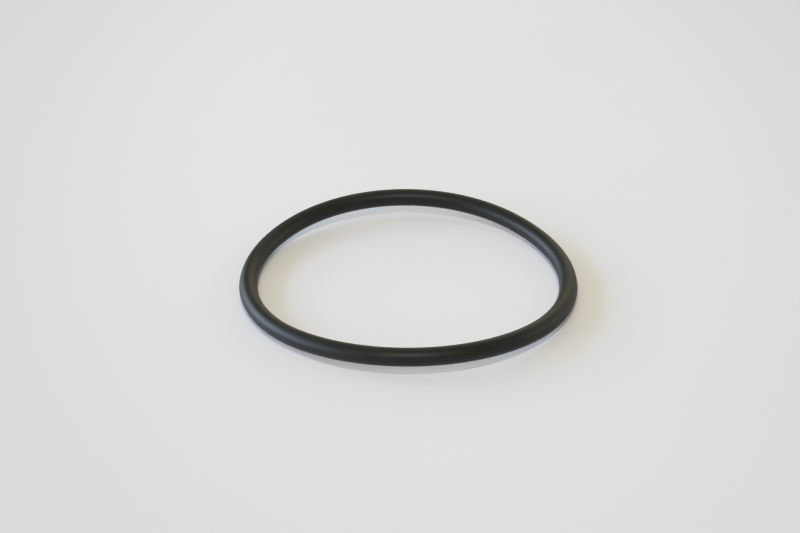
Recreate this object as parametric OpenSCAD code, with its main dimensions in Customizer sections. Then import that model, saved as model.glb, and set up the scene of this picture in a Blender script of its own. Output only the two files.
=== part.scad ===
// Rubber o-ring, lying free on a flat surface
//
// A moulded ring of round section that has sprung a little out of flat. Its left and right
// sides touch the surface, and its near and far sides stand a few millimetres clear of it.
//
// Millimetres. The origin is at the middle of the ring, on the surface that it lies on.
// X runs to the right side, Y to the far side, and Z up along the ring's axis.

/* [Ring] */
// Inside diameter of the ring as it was moulded, flat
inside_d = 90; // [40:1:200]
// Diameter of the round rubber section
section_d = 5.3; // [2.6:0.1:8]

/* [Lie] */
// Height by which the near and far sides stand above the left and right sides
rise = 3.1; // [0.2:0.1:8]

/* [Mould line] */
// Diameter of the fine bead that the mould leaves along the ring's inner and outer edge
bead_d = 0.16; // [0.08:0.02:0.3]

/* [Hidden] */

// Facets drawn around the whole ring
ring_sides = 180;
// Facets drawn around the rubber
section_sides = 48;
// Facets drawn around the bead
bead_sides = 16;

// Radius of the rubber's middle line as moulded
mean_r = (inside_d + section_d) / 2;

// The middle line is four equal arcs of a circle, centred on the right, far, left and near
// sides. Their planes tilt by the same angle, down to the right and left sides and up to the
// far and near ones, and each arc runs on into the next with no kink and no step.

// Turn about the ring's axis from the middle of a side to where two arcs meet
eighth_turn = 360 / 8;

// Half of an arc in its own plane, from the middle of its side to where it meets the next one
function half_arc(tilt) = atan(1 / cos(tilt));

// Radius of an arc, which keeps the rubber's moulded length
function arc_radius(tilt) = mean_r * eighth_turn / half_arc(tilt);

// Depth of an arc, from the line between its two ends to its middle
function arc_depth(tilt) = arc_radius(tilt) * (1 - cos(half_arc(tilt)));

// Tilt at which two arcs' depths come to the rise, closing in on it from a flat ring
function tilt_from(guess, steps) = steps == 0 ? guess
    : tilt_from(asin(rise / (2 * arc_depth(guess))), steps - 1);

// Steps that bring the tilt to the rise within a thousandth of a millimetre
tilt_steps = 8;
// Tilt of each arc's plane
tilt = tilt_from(0, tilt_steps);
// Half of each arc, and its radius
sweep = half_arc(tilt);
arc_r = arc_radius(tilt);

// Distance from the ring's axis to the point where two arcs meet
meeting_r = sqrt(2) * arc_r * sin(sweep);
// Slope of the rubber at that point
slope = atan(tan(tilt) / sqrt(2));
// Lean of an arc's plane there, about the rubber's own direction
lean = asin(sin(tilt) / sqrt(2));

// Angle by which an arc runs on past the middle of its side before it is trimmed there
spare_angle = 3;
// Side of the block that keeps one corner of the ring
corner_size = mean_r + section_d;

// Round rubber with the mould's bead at its inner and outer edge
module section() {
    circle(d = section_d, $fn = section_sides);
    for (edge = [-1, 1])
        translate([edge * section_d / 2, 0]) circle(d = bead_d, $fn = bead_sides);
}

// Rising arc, which starts where two arcs meet, with its start on the origin and facing +Y.
// The section is turned back by the lean, so the mould line starts level.
module rising_arc()
    rotate([0, -lean, 0]) translate([-arc_r, 0, 0])
        rotate_extrude(angle = sweep + spare_angle, $fn = ring_sides)
            translate([arc_r, 0]) rotate(-lean) section();

// Stretch from the meeting point up to the middle of the far side, half-way up at its start
module rising_stretch()
    intersection() {
        rotate([0, 0, eighth_turn]) translate([meeting_r, 0, 0])
            rotate([slope, 0, 0]) rising_arc();
        translate([0, 0, -corner_size / 2]) cube(corner_size);
    }

// A quarter of the ring: the falling stretch is the rising one turned over, half a turn about
// the level line from the ring's middle to the meeting point
module quarter() {
    rising_stretch();
    mirror([1, -1, 0]) mirror([0, 0, 1]) rising_stretch();
}

// The whole ring, one moulded piece of rubber, set down so that its lowest points are at zero
module o_ring()
    color([0.06, 0.065, 0.06])
        translate([0, 0, (section_d + rise) / 2])
            for (left = [0, 1], near = [0, 1])
                mirror([left, 0, 0]) mirror([0, near, 0]) quarter();

o_ring();
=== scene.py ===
"""Looks of a rubber o-ring that lies free on a pale table, a little sprung out of flat."""

import logging
import math
from dataclasses import dataclass, field
from enum import Enum

import bpy
from mathutils import Matrix, Vector


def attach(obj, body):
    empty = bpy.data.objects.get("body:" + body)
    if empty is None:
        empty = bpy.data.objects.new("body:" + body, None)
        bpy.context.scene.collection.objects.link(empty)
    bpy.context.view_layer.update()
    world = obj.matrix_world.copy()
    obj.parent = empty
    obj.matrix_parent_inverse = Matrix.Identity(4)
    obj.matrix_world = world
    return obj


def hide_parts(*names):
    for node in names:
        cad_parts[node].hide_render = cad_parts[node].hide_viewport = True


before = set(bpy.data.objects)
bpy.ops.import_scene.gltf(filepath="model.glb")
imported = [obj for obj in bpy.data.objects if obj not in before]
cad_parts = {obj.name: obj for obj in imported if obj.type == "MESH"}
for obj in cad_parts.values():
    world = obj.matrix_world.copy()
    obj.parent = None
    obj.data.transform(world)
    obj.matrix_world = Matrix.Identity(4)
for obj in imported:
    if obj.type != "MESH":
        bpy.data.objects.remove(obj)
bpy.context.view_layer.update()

log = logging.getLogger("o_ring")

MM = 0.001
PHOTO_WIDTH_PX = 800


class Tint(Enum):
    """Colours of the light in the room, as linear red, green and blue."""

    WINDOW = (0.82, 1.0, 1.28)
    SIDE_WINDOW = (0.85, 1.0, 1.18)
    FRONT_WALL = (1.07, 1.0, 0.96)
    LAMP = (1.03, 1.0, 0.9)
    RIGHT_WALL = (1.0, 1.0, 0.96)
    BACK_WALL = (1.1, 1.0, 0.7)
    ROOM = (1.0, 1.0, 0.72)


class Height(Enum):
    """Which way the middle of an arc of the ring departs from the ring's mean plane."""

    LOW = -1.0
    HIGH = 1.0


@dataclass(frozen=True)
class Layers:
    """How a noise is layered.

    Fields:
        detail: how many finer layers it has.
        roughness: how strong the finer layers are.
    """

    detail: float
    roughness: float


FINE_GRAIN = Layers(detail=2.0, roughness=0.55)
SLOW_SWELL = Layers(detail=3.0, roughness=0.5)
FILM_PATCHES = Layers(detail=4.0, roughness=0.6)
DUST_SPECKS = Layers(detail=1.0, roughness=0.5)

# Noise values between which a patch of film, or a speck of dust, comes in
PATCH_EDGE = (0.38, 0.72)
SPECK_EDGE = (0.72, 0.8)


@dataclass
class NodeSheet:
    """Short ways to add and join the nodes of one tree, for geometry and for shaders alike.

    Fields:
        tree: the node tree that is filled.
    """

    tree: bpy.types.NodeTree

    def node(self, kind: str, **settings: object) -> bpy.types.Node:
        """Adds a node.

        Args:
            kind: the node's type name.
            settings: properties to set on it.

        Returns:
            The new node.
        """
        made = self.tree.nodes.new(kind)
        for name, value in settings.items():
            setattr(made, name, value)
        return made

    def feed(self, socket: bpy.types.NodeSocket, value: object) -> None:
        """Gives a socket its value, or joins it to the socket that makes the value.

        Args:
            socket: the input.
            value: a socket, a number or a tuple.
        """
        if isinstance(value, bpy.types.NodeSocket):
            self.tree.links.new(value, socket)
        elif value is not None:
            socket.default_value = value

    def math(self, operation: str, *values: object) -> bpy.types.NodeSocket:
        """Adds a Math node.

        Args:
            operation: its operation.
            values: its one to three inputs, sockets or numbers.

        Returns:
            The result's socket.
        """
        made = self.node("ShaderNodeMath", operation=operation)
        for socket, value in zip(made.inputs, values):
            self.feed(socket, value)
        return made.outputs[0]

    def point(self, x: object, y: object, z: object) -> bpy.types.NodeSocket:
        """Joins three numbers to a point.

        Args:
            x: its X, a socket or a number.
            y: its Y.
            z: its Z.

        Returns:
            The point's socket.
        """
        made = self.node("ShaderNodeCombineXYZ")
        for socket, value in zip(made.inputs, (x, y, z)):
            self.feed(socket, value)
        return made.outputs[0]

    def blend(self, factor: object, low: object, high: object) -> bpy.types.NodeSocket:
        """Mixes two colours.

        Args:
            factor: how much of the second colour there is, from 0 to 1.
            low: the first colour.
            high: the second colour.

        Returns:
            The mixed colour's socket.
        """
        made = self.node("ShaderNodeMix", data_type="RGBA")
        names = {"Factor_Float": factor, "A_Color": low, "B_Color": high}
        for socket in made.inputs:
            self.feed(socket, names.get(socket.identifier))
        return next(s for s in made.outputs if s.identifier == "Result_Color")

    def spread(self, value: object, low: object, high: object, out_low: object, out_high: object,
               ease: bool = False) -> bpy.types.NodeSocket:
        """Maps a value from one range to another, held within it.

        Args:
            value: the value.
            low: value that gives out_low.
            high: value that gives out_high.
            out_low: result at the low end.
            out_high: result at the high end.
            ease: True for a smooth start and end.

        Returns:
            The result's socket.
        """
        made = self.node("ShaderNodeMapRange",
                         interpolation_type="SMOOTHSTEP" if ease else "LINEAR")
        for socket, given in zip(made.inputs, (value, low, high, out_low, out_high)):
            self.feed(socket, given)
        return made.outputs[0]

    def noise(self, place: bpy.types.NodeSocket, scale: object,
              layers: Layers) -> bpy.types.NodeSocket:
        """Adds a noise texture.

        Args:
            place: where the noise is read.
            scale: its features to the metre.
            layers: how it is layered.

        Returns:
            The noise's value, about 0 to 1.
        """
        made = self.node("ShaderNodeTexNoise")
        self.feed(made.inputs["Vector"], place)
        self.feed(made.inputs["Scale"], scale)
        made.inputs["Detail"].default_value = layers.detail
        made.inputs["Roughness"].default_value = layers.roughness
        return made.outputs["Fac"]


def new_group(name: str, kind: str, inputs: dict[str, str],
              outputs: dict[str, str]) -> tuple[NodeSheet, bpy.types.Node, bpy.types.Node]:
    """Starts a node group with named sockets.

    Args:
        name: the group's name.
        kind: the tree's type name.
        inputs: each input's name and socket type.
        outputs: each output's name and socket type.

    Returns:
        The group's sheet, its input node and its output node.
    """
    tree = bpy.data.node_groups.new(name, kind)
    for in_out, sockets in (("INPUT", inputs), ("OUTPUT", outputs)):
        for socket_name, socket_type in sockets.items():
            tree.interface.new_socket(socket_name, in_out=in_out, socket_type=socket_type)
    sheet = NodeSheet(tree)
    return sheet, sheet.node("NodeGroupInput"), sheet.node("NodeGroupOutput")


def grain_group() -> bpy.types.NodeTree:
    """Builds the effect of a fine skin: even, fine grain over slow, shallow unevenness.

    Returns:
        A group that puts out a height from a place and three sizes.
    """
    sheet, given, result = new_group(
        "surface_grain", "ShaderNodeTree",
        {"Place": "NodeSocketVector", "Fine Scale": "NodeSocketFloat",
         "Slow Scale": "NodeSocketFloat", "Slow Share": "NodeSocketFloat"},
        {"Height": "NodeSocketFloat"})
    fine = sheet.noise(given.outputs["Place"], given.outputs["Fine Scale"], FINE_GRAIN)
    slow = sheet.noise(given.outputs["Place"], given.outputs["Slow Scale"], SLOW_SWELL)
    share = sheet.math("MULTIPLY", slow, given.outputs["Slow Share"])
    sheet.feed(result.inputs["Height"], sheet.math("ADD", fine, share))
    return sheet.tree


def bloom_group() -> bpy.types.NodeTree:
    """Builds the effect of a pale film: soft patches with fine specks of dust in them.

    Returns:
        A group that puts out a mask, from 0 for clean to 1 for covered.
    """
    sheet, given, result = new_group(
        "pale_film", "ShaderNodeTree",
        {"Place": "NodeSocketVector", "Patch Scale": "NodeSocketFloat",
         "Speck Scale": "NodeSocketFloat", "Cover": "NodeSocketFloat",
         "Specks": "NodeSocketFloat"},
        {"Film": "NodeSocketFloat"})
    patches = sheet.noise(given.outputs["Place"], given.outputs["Patch Scale"], FILM_PATCHES)
    film = sheet.math("MULTIPLY", sheet.spread(patches, *PATCH_EDGE, 0.0, 1.0, ease=True),
                      given.outputs["Cover"])
    dust = sheet.noise(given.outputs["Place"], given.outputs["Speck Scale"], DUST_SPECKS)
    specks = sheet.math("MULTIPLY", sheet.spread(dust, *SPECK_EDGE, 0.0, 1.0, ease=True),
                        given.outputs["Specks"])
    sheet.feed(result.inputs["Film"], sheet.math("MAXIMUM", film, specks))
    return sheet.tree


@dataclass(frozen=True)
class Grain:
    """Fine, even grain over slow, shallow swells.

    Fields:
        scale: grains to the metre.
        swell_scale: swells to the metre.
        swell_share: height of the swells, as a share of the grain's.
        depth: depth of the grain, in metres.
    """

    scale: float
    swell_scale: float
    swell_share: float
    depth: float


@dataclass(frozen=True)
class SharedEffects:
    """The shader groups that the finishes share.

    Fields:
        grain: fine skin.
        film: pale patches and specks.
    """

    grain: bpy.types.NodeTree
    film: bpy.types.NodeTree

    def place(self, sheet: NodeSheet, group: bpy.types.NodeTree,
              **values: object) -> bpy.types.NodeSocket:
        """Puts a group in a material.

        Args:
            sheet: the material's sheet.
            group: the group.
            values: its inputs by name, with _ for a space.

        Returns:
            The group's first output.
        """
        made = sheet.node("ShaderNodeGroup", node_tree=group)
        for name, value in values.items():
            sheet.feed(made.inputs[name.replace("_", " ")], value)
        return made.outputs[0]

    def roughen(self, sheet: NodeSheet, shader: bpy.types.Node, grain: Grain,
                place: bpy.types.NodeSocket) -> None:
        """Gives a material its grain.

        Args:
            sheet: the material's sheet.
            shader: its shader.
            grain: the grain.
            place: where the grain is read.
        """
        height = self.place(sheet, self.grain, Place=place, Fine_Scale=grain.scale,
                            Slow_Scale=grain.swell_scale, Slow_Share=grain.swell_share)
        bump = sheet.node("ShaderNodeBump")
        bump.inputs["Distance"].default_value = grain.depth
        sheet.feed(bump.inputs["Height"], height)
        sheet.feed(shader.inputs["Normal"], bump.outputs["Normal"])


def new_material(name: str) -> tuple[bpy.types.Material, NodeSheet, bpy.types.Node,
                                     bpy.types.NodeSocket]:
    """Starts a material with a Principled shader.

    Args:
        name: the material's name.

    Returns:
        The material, its sheet, its shader and the Object coordinate's socket.
    """
    material = bpy.data.materials.new(name)
    material.use_nodes = True
    material.node_tree.nodes.clear()
    sheet = NodeSheet(material.node_tree)
    shader = sheet.node("ShaderNodeBsdfPrincipled")
    sheet.feed(sheet.node("ShaderNodeOutputMaterial").inputs["Surface"], shader.outputs[0])
    return material, sheet, shader, sheet.node("ShaderNodeTexCoord").outputs["Object"]


@dataclass(frozen=True)
class RubberFinish:
    """Satin black moulded rubber with a faint bloom.

    Fields:
        black: colour of the clean rubber.
        bloom: colour of the film on it.
        bloom_cover: most that the film covers.
        speck_cover: most that a speck of dust covers.
        line_bloom: share of the film that the trimmed mould line keeps.
        patch_scale: patches of film to the metre.
        speck_scale: specks of dust to the metre.
        roughness: roughness of the clean rubber.
        film_roughness: roughness where the film is full.
        full_film: film that counts as full.
        line_roughness: roughness of the trimmed mould line.
        grain: grain of the skin.
        ior: index of refraction.
    """

    black: tuple[float, float, float, float] = (0.0085, 0.0087, 0.0078, 1.0)
    bloom: tuple[float, float, float, float] = (0.06, 0.062, 0.056, 1.0)
    bloom_cover: float = 0.1
    speck_cover: float = 0.2
    line_bloom: float = 0.4
    patch_scale: float = 130.0
    speck_scale: float = 2600.0
    roughness: float = 0.455
    film_roughness: float = 0.525
    full_film: float = 0.3
    line_roughness: float = 0.6
    grain: Grain = Grain(scale=5200.0, swell_scale=420.0, swell_share=0.8, depth=0.012 * MM)
    ior: float = 1.42

    def material(self, shared: SharedEffects) -> bpy.types.Material:
        """Builds the material.

        Args:
            shared: the shader groups.

        Returns:
            The rubber.
        """
        made, sheet, shader, place = new_material("satin_black_rubber")
        film = shared.place(sheet, shared.film, Place=place, Patch_Scale=self.patch_scale,
                            Speck_Scale=self.speck_scale, Cover=self.bloom_cover,
                            Specks=self.speck_cover)
        line = sheet.node("ShaderNodeAttribute", attribute_name=MouldedRing.LINE_MASK)
        bare = sheet.math("SUBTRACT", 1.0, line.outputs["Fac"])
        kept = sheet.math("MULTIPLY_ADD", bare, 1.0 - self.line_bloom, self.line_bloom)
        tone = sheet.math("MULTIPLY", film, kept)
        sheet.feed(shader.inputs["Base Color"], sheet.blend(tone, self.black, self.bloom))
        skin = sheet.spread(film, 0.0, self.full_film, self.roughness, self.film_roughness)
        trim = sheet.math("MULTIPLY", line.outputs["Fac"], self.line_roughness - self.roughness)
        sheet.feed(shader.inputs["Roughness"], sheet.math("ADD", skin, trim))
        shared.roughen(sheet, shader, self.grain, place)
        shader.inputs["IOR"].default_value = self.ior
        return made


@dataclass(frozen=True)
class TableFinish:
    """Plain pale table top with a painted pool of light round the ring: its colour is painted
    darker away from the ring.

    Fields:
        pale: its colour round the ring, inside the painted pool of light.
        painted_falloff_and_patch_tint: its colour further out, painted darker as a light falloff
            away from the ring; also the colour of the patches.
        painted_light_pool: half-width and half-depth of the painted pool of light round the ring,
            in metres.
        painted_pool_middle: the painted pool's middle, in metres.
        painted_pool_core: part of the painted pool that is evenly bright.
        film_cover: most that the painted falloff colour shows in patches all over.
        patch_scale: such patches to the metre.
        roughness: roughness of the sheet.
        grain: grain of the sheet.
        ior: index of refraction.
    """

    pale: tuple[float, float, float, float] = (0.887, 0.858, 0.9, 1.0)
    # Painted light: a bright pool round the ring that fades to a darker painted falloff further
    # out
    painted_falloff_and_patch_tint: tuple[float, float, float, float] = (0.7, 0.68, 0.708, 1.0)
    painted_light_pool: tuple[float, float] = (0.202, 0.39)
    painted_pool_middle: tuple[float, float] = (0.019, 0.1)
    painted_pool_core: float = 0.31
    film_cover: float = 0.06
    patch_scale: float = 6.0
    roughness: float = 0.6
    grain: Grain = Grain(scale=1800.0, swell_scale=160.0, swell_share=0.5, depth=0.01 * MM)
    ior: float = 1.3

    def material(self, shared: SharedEffects) -> bpy.types.Material:
        """Builds the material.

        Args:
            shared: the shader groups.

        Returns:
            The table's finish.
        """
        made, sheet, shader, place = new_material("pale_table")
        film = shared.place(sheet, shared.film, Place=place, Patch_Scale=self.patch_scale,
                            Cover=self.film_cover)
        # Painted pool of light: the table's colour is painted darker with distance from the pool's
        # middle
        painted_light_pool = sheet.node("ShaderNodeMapping")
        painted_light_pool.inputs["Scale"].default_value = (1 / self.painted_light_pool[0], 1 / self.painted_light_pool[1], 0)
        painted_light_pool.inputs["Location"].default_value = (-self.painted_pool_middle[0] / self.painted_light_pool[0],
                                                 -self.painted_pool_middle[1] / self.painted_light_pool[1], 0)
        sheet.feed(painted_light_pool.inputs["Vector"], place)
        reach = sheet.node("ShaderNodeVectorMath", operation="LENGTH")
        sheet.feed(reach.inputs[0], painted_light_pool.outputs[0])
        painted_falloff = sheet.spread(reach.outputs["Value"], self.painted_pool_core, 1.0, 0.0, 1.0, ease=True)
        tone = sheet.math("MAXIMUM", film, painted_falloff)
        sheet.feed(shader.inputs["Base Color"], sheet.blend(tone, self.pale, self.painted_falloff_and_patch_tint))
        shared.roughen(sheet, shader, self.grain, place)
        shader.inputs["Roughness"].default_value = self.roughness
        shader.inputs["IOR"].default_value = self.ior
        return made


@dataclass
class MouldedRing:
    """The ring: a round section swept along four tilted arcs that run into each other.

    Fields:
        inside_d: inside diameter as moulded, flat.
        section_d: diameter of the section.
        rise: height of the near and far sides above the left and right ones.
        bead_d: diameter of the mould line's bead.
        stations: sections around the ring.
        points: points around a section.
        crowding: how closely the points crowd towards the mould line, from 0 to below 1.
    """

    inside_d: float = 90 * MM
    section_d: float = 5.3 * MM
    rise: float = 3.1 * MM
    bead_d: float = 0.16 * MM
    stations: int = 720
    points: int = 112
    crowding: float = 0.93

    LINE_MASK = "mould_line"
    # Where the mould line's mask has faded out, in the bead's radii
    MASK_REACH = 2.5
    TREE_NAME = "swept_ring"
    TILT_STEPS = 12

    def half_arc(self, tilt: float) -> float:
        """Returns half of an arc in its own plane, in radians."""
        return math.atan(1 / math.cos(tilt))

    def arc_radius(self, tilt: float) -> float:
        """Returns the radius of an arc, which keeps the moulded length."""
        return (self.inside_d + self.section_d) / 2 * (math.pi / 4) / self.half_arc(tilt)

    def tilt(self) -> float:
        """Closes in on the tilt of the arcs' planes that gives the rise.

        Returns:
            The tilt, in radians.
        """
        angle = 0.0
        for _ in range(self.TILT_STEPS):
            depth = self.arc_radius(angle) * (1 - math.cos(self.half_arc(angle)))
            angle = math.asin(self.rise / (2 * depth))
        return angle

    def sweep_tree(self) -> bpy.types.NodeTree:
        """Builds the tree that sweeps the ring.

        Returns:
            The tree.
        """
        sheet, given, result = new_group(
            self.TREE_NAME, "GeometryNodeTree",
            {"Arc Radius": "NodeSocketFloat", "Tilt": "NodeSocketFloat",
             "Half Arc": "NodeSocketFloat", "Mean Height": "NodeSocketFloat",
             "Section Diameter": "NodeSocketFloat", "Bead Diameter": "NodeSocketFloat",
             "Stations": "NodeSocketInt", "Section Points": "NodeSocketInt",
             "Crowding": "NodeSocketFloat", "Material": "NodeSocketMaterial"},
            {"Geometry": "NodeSocketGeometry"})
        path = self._middle_line(sheet, given)
        profile = self._section(sheet, given)
        swept = sheet.node("GeometryNodeCurveToMesh")
        sheet.feed(swept.inputs["Curve"], path)
        sheet.feed(swept.inputs["Profile Curve"], profile)
        smooth = sheet.node("GeometryNodeSetShadeSmooth")
        sheet.feed(smooth.inputs["Geometry"], swept.outputs["Mesh"])
        realized = sheet.node("GeometryNodeRealizeInstances")
        sheet.feed(realized.inputs["Geometry"], smooth.outputs["Geometry"])
        dressed = sheet.node("GeometryNodeSetMaterial")
        sheet.feed(dressed.inputs["Geometry"], realized.outputs["Geometry"])
        sheet.feed(dressed.inputs["Material"], given.outputs["Material"])
        sheet.feed(result.inputs["Geometry"], dressed.outputs["Geometry"])
        return sheet.tree

    def _turning_circle(self, sheet: NodeSheet,
                        count: bpy.types.NodeSocket) -> tuple[bpy.types.NodeSocket,
                                                              bpy.types.NodeSocket]:
        """Adds a closed curve and the turn of each of its points.

        Args:
            sheet: the tree's sheet.
            count: how many points the curve has.

        Returns:
            The curve, and the angle of each point in radians.
        """
        circle = sheet.node("GeometryNodeCurvePrimitiveCircle")
        sheet.feed(circle.inputs["Resolution"], count)
        index = sheet.node("GeometryNodeInputIndex").outputs[0]
        share = sheet.math("DIVIDE", index, count)
        return circle.outputs["Curve"], sheet.math("MULTIPLY", share, 2 * math.pi)

    def _moved(self, sheet: NodeSheet, curve: bpy.types.NodeSocket,
               place: bpy.types.NodeSocket) -> bpy.types.NodeSocket:
        """Adds the node that places a curve's points.

        Args:
            sheet: the tree's sheet.
            curve: the curve.
            place: where each of its points goes.

        Returns:
            The curve in its place.
        """
        moved = sheet.node("GeometryNodeSetPosition")
        sheet.feed(moved.inputs["Geometry"], curve)
        sheet.feed(moved.inputs["Position"], place)
        return moved.outputs["Geometry"]

    def _middle_line(self, sheet: NodeSheet, given: bpy.types.Node) -> bpy.types.NodeSocket:
        """Adds the middle line of the rubber, from four arcs in turn.

        Args:
            sheet: the tree's sheet.
            given: the tree's input node.

        Returns:
            The closed curve, with its normal level.
        """
        radius, tilt = given.outputs["Arc Radius"], given.outputs["Tilt"]
        half = given.outputs["Half Arc"]
        curve, turn = self._turning_circle(sheet, given.outputs["Stations"])
        quarter = sheet.math("ROUND", sheet.math("DIVIDE", turn, math.pi / 2))
        side_turn = sheet.math("MULTIPLY", quarter, math.pi / 2)
        within = sheet.math("SUBTRACT", turn, side_turn)
        angle = sheet.math("DIVIDE", sheet.math("MULTIPLY", within, half), math.pi / 4)
        odd = sheet.math("PINGPONG", quarter, 1.0)
        way = sheet.spread(odd, 0.0, 1.0, Height.LOW.value, Height.HIGH.value)
        half_cos = sheet.math("COSINE", half)
        level = sheet.math("COSINE", tilt)
        lead = sheet.math("SUBTRACT", sheet.math("SINE", half),
                          sheet.math("MULTIPLY", half_cos, level))
        out = sheet.math("MULTIPLY_ADD", sheet.math("COSINE", angle), level, lead)
        depth = sheet.math("SUBTRACT", sheet.math("COSINE", angle), half_cos)
        lift = sheet.math("MULTIPLY", sheet.math("MULTIPLY", depth, sheet.math("SINE", tilt)),
                          sheet.math("MULTIPLY", radius, way))
        place = sheet.point(sheet.math("MULTIPLY", out, radius),
                            sheet.math("MULTIPLY", sheet.math("SINE", angle), radius),
                            sheet.math("ADD", lift, given.outputs["Mean Height"]))
        turned = sheet.node("ShaderNodeVectorRotate", rotation_type="Z_AXIS")
        sheet.feed(turned.inputs["Vector"], place)
        sheet.feed(turned.inputs["Angle"], side_turn)
        upright = sheet.node("GeometryNodeSetCurveNormal", mode="Z_UP")
        sheet.feed(upright.inputs["Curve"], self._moved(sheet, curve, turned.outputs[0]))
        return upright.outputs["Curve"]

    def _section(self, sheet: NodeSheet, given: bpy.types.Node) -> bpy.types.NodeSocket:
        """Adds the round section with the mould line's bead at its inner and outer edge.

        Args:
            sheet: the tree's sheet.
            given: the tree's input node.

        Returns:
            The closed profile, with the mask of the mould line on its points.
        """
        curve, turn = self._turning_circle(sheet, given.outputs["Section Points"])
        pull = sheet.math("MULTIPLY", given.outputs["Crowding"], -0.5)
        twice = sheet.math("SINE", sheet.math("MULTIPLY", turn, 2.0))
        angle = sheet.math("MULTIPLY_ADD", twice, pull, turn)
        section_r = sheet.math("MULTIPLY", given.outputs["Section Diameter"], 0.5)
        bead_r = sheet.math("MULTIPLY", given.outputs["Bead Diameter"], 0.5)
        off_line = sheet.math("ABSOLUTE", sheet.math("MULTIPLY", sheet.math("SINE", angle),
                                                     section_r))
        inside = sheet.math("SUBTRACT", sheet.math("MULTIPLY", bead_r, bead_r),
                            sheet.math("MULTIPLY", off_line, off_line))
        ridge = sheet.math("SQRT", sheet.math("MAXIMUM", inside, 0.0))
        reach = sheet.math("ADD", section_r, ridge)
        place = sheet.point(sheet.math("MULTIPLY", sheet.math("COSINE", angle), reach),
                            sheet.math("MULTIPLY", sheet.math("SINE", angle), reach), 0.0)
        marked = sheet.node("GeometryNodeStoreNamedAttribute", data_type="FLOAT", domain="POINT")
        marked.inputs["Name"].default_value = self.LINE_MASK
        sheet.feed(marked.inputs["Geometry"], self._moved(sheet, curve, place))
        mask_end = sheet.math("MULTIPLY", bead_r, self.MASK_REACH)
        mask = sheet.spread(off_line, bead_r, mask_end, 1.0, 0.0, ease=True)
        sheet.feed(marked.inputs["Value"], mask)
        return marked.outputs["Geometry"]

    def build(self, rubber: bpy.types.Material) -> bpy.types.Object:
        """Sweeps the ring and turns it into a plain mesh.

        Args:
            rubber: its material.

        Returns:
            The ring's piece, with its place in its mesh.
        """
        carrier = bpy.data.objects.new("ring_carrier", bpy.data.meshes.new("ring_carrier"))
        bpy.context.scene.collection.objects.link(carrier)
        sweep = carrier.modifiers.new("sweep", "NODES")
        sweep.node_group = self.sweep_tree()
        tilt = self.tilt()
        values = {"Arc Radius": self.arc_radius(tilt), "Tilt": tilt,
                  "Half Arc": self.half_arc(tilt), "Mean Height": (self.section_d + self.rise) / 2,
                  "Section Diameter": self.section_d, "Bead Diameter": self.bead_d,
                  "Stations": self.stations, "Section Points": self.points,
                  "Crowding": self.crowding, "Material": rubber}
        for item in sweep.node_group.interface.items_tree:
            if item.in_out == "INPUT":
                sweep[item.identifier] = values[item.name]
        shown = carrier.evaluated_get(bpy.context.evaluated_depsgraph_get())
        mesh = bpy.data.meshes.new_from_object(shown)
        mesh.name = "rubber_ring"
        bpy.data.objects.remove(carrier)
        if signed_volume(mesh) < 0:
            mesh.flip_normals()
        piece = bpy.data.objects.new("rubber_ring", mesh)
        bpy.context.scene.collection.objects.link(piece)
        log.info("ring: %d faces, volume %.0f cubic mm", len(mesh.polygons),
                 signed_volume(mesh) / MM ** 3)
        return piece


def signed_volume(mesh: bpy.types.Mesh) -> float:
    """Measures a closed mesh, with a negative result where its faces point inwards.

    Args:
        mesh: the mesh.

    Returns:
        The volume in cubic metres.
    """
    mesh.calc_loop_triangles()
    total = 0.0
    for triangle in mesh.loop_triangles:
        a, b, c = (mesh.vertices[i].co for i in triangle.vertices)
        total += a.dot(b.cross(c))
    return total / 6


@dataclass(frozen=True)
class Softbox:
    """A flat light that faces the ring.

    Fields:
        name: its name.
        tint: its colour.
        azimuth: where it stands, in degrees from straight behind the ring, to the right.
        elevation: its height above the table, in degrees.
        width: its width, in metres.
        height: its height, in metres.
        power: its power, in watts.
        distance: how far from the ring it stands, in metres.
    """

    name: str
    tint: Tint
    azimuth: float
    elevation: float
    width: float
    height: float
    power: float
    distance: float = 1.6

    def build(self, heading: float) -> bpy.types.Object:
        """Makes the light.

        Args:
            heading: the camera's heading, which azimuths are counted from, in radians.

        Returns:
            The light's object.
        """
        data = bpy.data.lights.new(self.name, "AREA")
        data.shape = "RECTANGLE"
        data.size, data.size_y = self.width, self.height
        data.energy = self.power
        data.color = self.tint.value
        turn = heading - math.radians(self.azimuth)
        rise = math.radians(self.elevation)
        way = Vector((-math.sin(turn) * math.cos(rise), math.cos(turn) * math.cos(rise),
                      math.sin(rise)))
        light = bpy.data.objects.new(self.name, data)
        light.matrix_world = (Matrix.Translation(way * self.distance)
                              @ way.to_track_quat("Z", "Y").to_matrix().to_4x4())
        bpy.context.scene.collection.objects.link(light)
        return light


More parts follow.
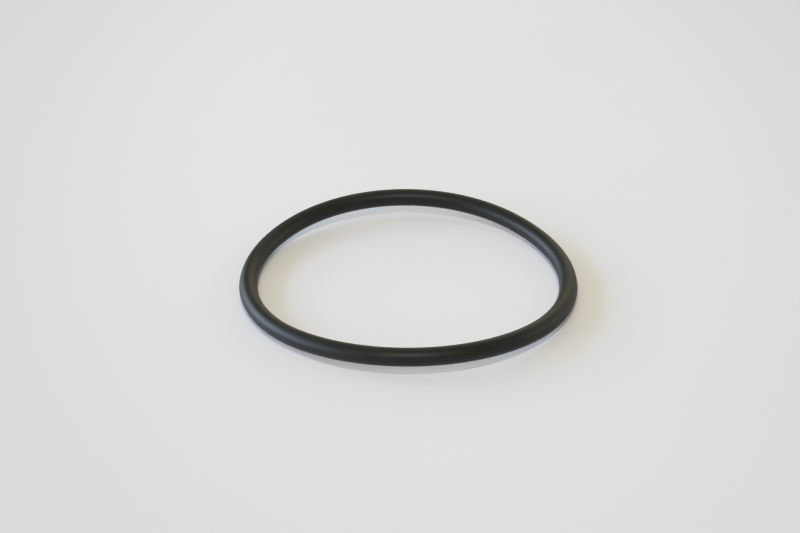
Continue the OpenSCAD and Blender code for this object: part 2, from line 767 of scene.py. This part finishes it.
@dataclass
class Studio:
    """Pale table top, soft lights and the dim room around them.

    Fields:
        table_size: side of the table top, in metres.
        room_light: strength of the room's own light.
        lights: the lights.
    """

    table_size: float = 12.0
    room_light: float = 0.225
    lights: tuple[Softbox, ...] = field(default_factory=lambda: (
        Softbox("window", Tint.WINDOW, azimuth=-95, elevation=13,
                width=1.9, height=1.0, power=24.8),
        Softbox("side_window", Tint.SIDE_WINDOW, azimuth=-60, elevation=15,
                width=1.2, height=0.8, power=11.2),
        Softbox("front_wall", Tint.FRONT_WALL, azimuth=180, elevation=40,
                width=0.9, height=0.4, power=3.2),
        Softbox("lamp", Tint.LAMP, azimuth=180, elevation=59,
                width=0.12, height=0.12, power=5.2),
        Softbox("ceiling", Tint.LAMP, azimuth=0, elevation=68,
                width=1.4, height=0.5, power=1.6),
        Softbox("right_wall", Tint.RIGHT_WALL, azimuth=75, elevation=20,
                width=1.4, height=0.8, power=4.2),
        Softbox("back_wall", Tint.BACK_WALL, azimuth=15, elevation=20,
                width=1.2, height=0.8, power=3.6),
    ))

    def table(self, finish: bpy.types.Material) -> bpy.types.Object:
        """Makes the table top.

        Args:
            finish: its material.

        Returns:
            The table's object.
        """
        side = self.table_size / 2
        corners = [(-side, -side, 0), (side, -side, 0), (side, side, 0), (-side, side, 0)]
        mesh = bpy.data.meshes.new("table")
        mesh.from_pydata(corners, [], [(0, 1, 2, 3)])
        mesh.materials.append(finish)
        table = bpy.data.objects.new("table", mesh)
        bpy.context.scene.collection.objects.link(table)
        return table

    def room(self) -> None:
        """Sets the even light that comes from all around."""
        world = bpy.data.worlds.new("room")
        world.use_nodes = True
        background = world.node_tree.nodes["Background"]
        background.inputs["Color"].default_value = (*Tint.ROOM.value, 1.0)
        background.inputs["Strength"].default_value = self.room_light
        bpy.context.scene.world = world

    def build(self, finish: bpy.types.Material, heading: float) -> None:
        """Makes the table, the room and the lights.

        Args:
            finish: the table's material.
            heading: the camera's heading, in radians.
        """
        log.info("stage: %s", self.table(finish).name)
        self.room()
        for light in self.lights:
            log.info("light: %s, %.1f W", light.build(heading).name, light.power)


@dataclass(frozen=True)
class PhotoCamera:
    """Camera at the photograph's place and angle. Distances are in mean radii of the ring.

    Fields:
        mean_r: mean radius of the ring, in metres.
        focal_px: focal length in pixels of a picture PHOTO_WIDTH_PX wide.
        elevation: angle down to the table, in degrees.
        roll: turn about the line of sight, in degrees.
        heading: turn about the ring's axis from straight along +Y, in degrees.
        distance: distance to the point looked at.
        target: the point looked at, right of and beyond the ring's middle, and its height.
    """

    mean_r: float
    focal_px: float = 2079.0
    elevation: float = 29.66
    roll: float = 0.216
    heading: float = -3.56
    distance: float = 13.272
    target: tuple[float, float, float] = (-0.0528, 0.2784, 0.0)

    SENSOR_MM = 36.0
    NEAR_CLIP = 0.01
    FAR_CLIP = 100.0

    def build(self) -> bpy.types.Object:
        """Makes the camera and hands it to the scene.

        Returns:
            The camera's object.
        """
        data = bpy.data.cameras.new("photo_camera")
        data.sensor_width = self.SENSOR_MM
        data.lens = self.SENSOR_MM * self.focal_px / PHOTO_WIDTH_PX
        data.clip_start, data.clip_end = self.NEAR_CLIP, self.FAR_CLIP
        down, roll = math.radians(self.elevation), math.radians(self.roll)
        forward = Vector((0, math.cos(down), -math.sin(down)))
        up = Vector((0, math.sin(down), math.cos(down)))
        right = Vector((1, 0, 0))
        rolled_right = right * math.cos(roll) + up * math.sin(roll)
        rolled_up = up * math.cos(roll) - right * math.sin(roll)
        axes = Matrix((rolled_right, rolled_up, -forward)).transposed().to_4x4()
        eye = Vector(self.target) - forward * self.distance
        camera = bpy.data.objects.new("photo_camera", data)
        camera.matrix_world = (Matrix.Rotation(math.radians(self.heading), 4, "Z")
                               @ Matrix.Translation(eye * self.mean_r) @ axes)
        bpy.context.scene.collection.objects.link(camera)
        bpy.context.scene.camera = camera
        return camera


@dataclass(frozen=True)
class ToneResponse:
    """The camera's own response: bright tones are drawn together, as by the shoulder of a film.

    Fields:
        bends: points of the curve, as light in and light out.
    """

    bends: tuple[tuple[float, float], ...] = ((0.15, 0.15), (0.35, 0.37), (0.5, 0.57),
                                              (0.6, 0.67), (0.74, 0.745))

    COMBINED = 3

    def apply(self) -> None:
        """Sets the picture's tones."""
        view = bpy.context.scene.view_settings
        view.view_transform = "Standard"
        view.use_curve_mapping = True
        curve = view.curve_mapping.curves[self.COMBINED]
        for bend in self.bends:
            curve.points.new(*bend)
        view.curve_mapping.update()


def main() -> None:
    """Builds the ring and the scene around it."""
    logging.basicConfig(level=logging.INFO, format="%(name)s %(message)s")
    shared = SharedEffects(grain_group(), bloom_group())
    ring = MouldedRing()
    piece = ring.build(RubberFinish().material(shared))
    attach(piece, "root")
    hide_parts("o_ring")
    log.info("piece: %s", piece.name)
    camera = PhotoCamera((ring.inside_d + ring.section_d) / 2)
    log.info("camera: %s", camera.build().name)
    Studio().build(TableFinish().material(shared), math.radians(camera.heading))
    ToneResponse().apply()


if __name__ == "__main__":
    main()
